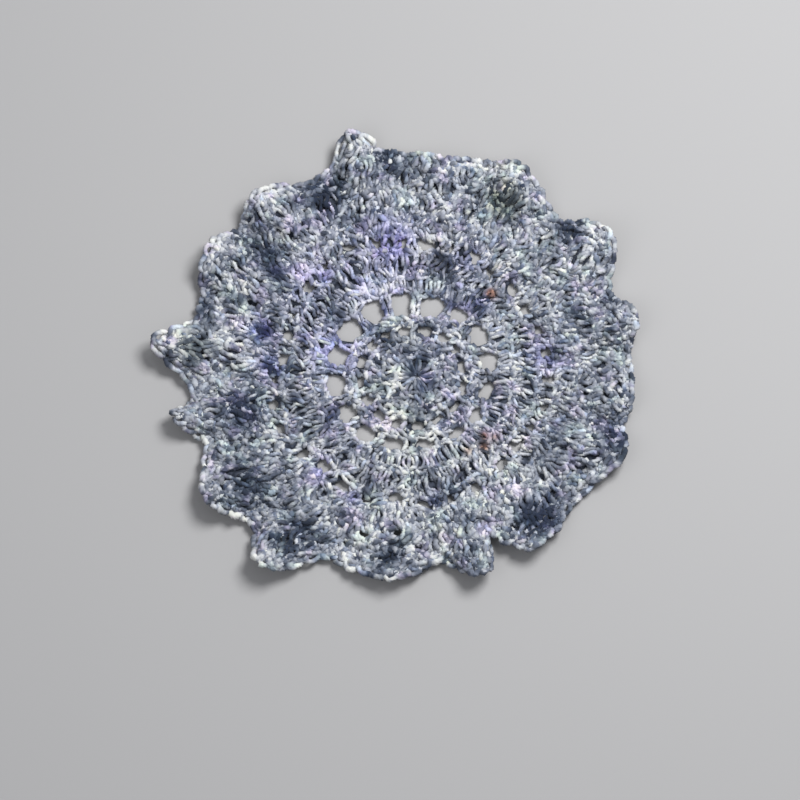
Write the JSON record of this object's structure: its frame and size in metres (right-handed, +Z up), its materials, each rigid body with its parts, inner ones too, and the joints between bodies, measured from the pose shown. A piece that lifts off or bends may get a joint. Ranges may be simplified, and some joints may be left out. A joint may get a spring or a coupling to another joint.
{
  "type": "crocheted lace doily",
  "caption": "Round crocheted lace doily in marled blue-grey yarn, flat at its middle, with openwork rings and a ruffled, scalloped edge.",
  "frame": {"origin": "middle of the doily's box, on the surface that it lies on", "axes": "+Z up from the surface, +X along the doily's longest side, +Y away from the viewer"},
  "size_m": [0.2448, 0.2344, 0.013],
  "materials": {
    "marled_yarn": "marled cotton yarn in off-white, blue-grey and navy, matt"
  },
  "bodies": {
    "root": {"doily": "marled_yarn"}
  },
  "joints": []
}
